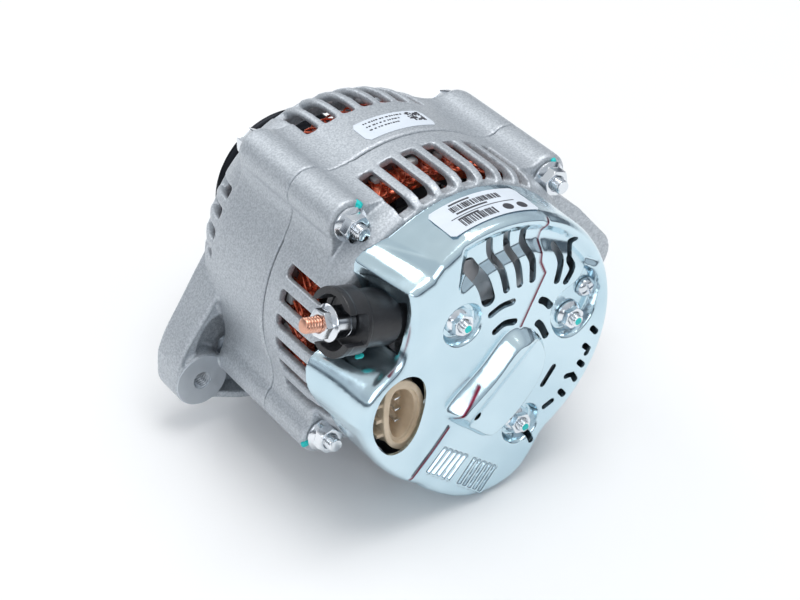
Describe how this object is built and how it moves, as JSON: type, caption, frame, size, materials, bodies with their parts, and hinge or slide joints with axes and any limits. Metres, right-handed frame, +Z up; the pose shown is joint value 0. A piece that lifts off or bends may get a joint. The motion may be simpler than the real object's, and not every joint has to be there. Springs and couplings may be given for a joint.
{
  "type": "car alternator",
  "caption": "Engine-driven alternator: slotted cast housings, grooved belt pulley, mounting ears, pressed rear cover, power terminal and oval plug socket.",
  "frame": {"origin": "centre of the flat front end of the rotor shaft", "axes": "+Y along the shaft out of the pulley end, +Z up, +X to the right as seen from the rear cover"},
  "size_m": [0.1752, 0.164, 0.1329],
  "materials": {
    "cast_aluminium": "blasted casting",
    "zinc_plated_steel": "bright blue-white zinc plate",
    "bright_zinc": "bright zinc plate",
    "bearing_steel": "ground",
    "machined_steel": "turned",
    "black_oxide": "black oxide",
    "lamination_steel": "bare laminations",
    "enamelled_copper": "red-brown enamel",
    "copper": "copper plate",
    "black_plastic": "moulded",
    "tan_plastic": "moulded",
    "brown_plastic": "moulded",
    "carbon": "pressed carbon"
  },
  "bodies": {
    "stator_and_frame": {"b_terminal_nut": "bright_zinc", "b_terminal_stud": "copper", "bearing_retainer_plate": "bright_zinc", "brush_holder": "brown_plastic", "brush_spring_1": "bright_zinc", "brush_spring_2": "bright_zinc", "cover_nut_1": "bright_zinc", "cover_nut_2": "bright_zinc", "cover_nut_3": "bright_zinc", "cover_screw": "bright_zinc", "cover_stud_1": "bright_zinc", "cover_stud_2": "bright_zinc", "cover_stud_3": "bright_zinc", "front_bearing_outer_race": "bearing_steel", "front_housing": "cast_aluminium", "rear_bearing_outer_race": "bearing_steel", "rear_cover": "zinc_plated_steel", "rear_housing": "cast_aluminium", "rectifier_diode_1": "machined_steel", "rectifier_diode_2": "machined_steel", "rectifier_diode_3": "machined_steel", "rectifier_diode_4": "machined_steel", "rectifier_diode_5": "machined_steel", "rectifier_diode_6": "machined_steel", "rectifier_heat_sink_negative": "cast_aluminium", "rectifier_heat_sink_positive": "cast_aluminium", "regulator_connector": "tan_plastic", "retainer_screw_1": "bright_zinc", "retainer_screw_2": "bright_zinc", "retainer_screw_3": "bright_zinc", "stator_core": "lamination_steel", "stator_winding": "enamelled_copper", "terminal_insulator": "black_plastic", "through_bolt_1": "bright_zinc", "through_bolt_2": "bright_zinc", "through_bolt_3": "bright_zinc", "through_bolt_4": "bright_zinc", "through_bolt_nut_1": "bright_zinc", "through_bolt_nut_2": "bright_zinc", "through_bolt_nut_3": "bright_zinc", "through_bolt_nut_4": "bright_zinc", "voltage_regulator": "black_plastic"},
    "rotor": {"rotor_shaft": "machined_steel", "front_claw_pole": "lamination_steel", "rear_claw_pole": "lamination_steel", "field_coil": "enamelled_copper", "front_fan": "machined_steel", "rear_fan": "machined_steel", "slip_ring_sleeve": "brown_plastic", "slip_ring_1": "copper", "slip_ring_2": "copper", "pulley": "black_oxide", "pulley_nut": "bright_zinc", "front_bearing_inner_race": "bearing_steel", "rear_bearing_inner_race": "bearing_steel"},
    "front_ball_set": {"front_bearing_balls": "bearing_steel"},
    "rear_ball_set": {"rear_bearing_balls": "bearing_steel"},
    "brush_a": {"brush_1": "carbon"},
    "brush_b": {"brush_2": "carbon"}
  },
  "joints": [
    {"name": "rotor_spin", "type": "hinge", "parent": "stator_and_frame", "child": "rotor", "pos_m": [0, -0.082, 0], "axis": [0, 1, 0], "continuous": true},
    {"name": "front_balls_spin", "type": "hinge", "parent": "stator_and_frame", "child": "front_ball_set", "pos_m": [0, -0.041, 0], "axis": [0, 1, 0], "continuous": true},
    {"name": "rear_balls_spin", "type": "hinge", "parent": "stator_and_frame", "child": "rear_ball_set", "pos_m": [0, -0.13, 0], "axis": [0, 1, 0], "continuous": true},
    {"name": "brush_1_slide", "type": "slide", "parent": "stator_and_frame", "child": "brush_a", "axis": [0, 0, -1], "range_m": [0, 0.004], "stiffness_N_per_m": 60, "springref_m": -0.01, "deforming": ["brush_spring_1"]},
    {"name": "brush_2_slide", "type": "slide", "parent": "stator_and_frame", "child": "brush_b", "axis": [0, 0, -1], "range_m": [0, 0.004], "stiffness_N_per_m": 60, "springref_m": -0.01, "deforming": ["brush_spring_2"]}
  ],
  "couplings": [
    {"joint": "front_balls_spin", "follows": "rotor_spin", "ratio": 0.4},
    {"joint": "rear_balls_spin", "follows": "rotor_spin", "ratio": 0.43}
  ]
}
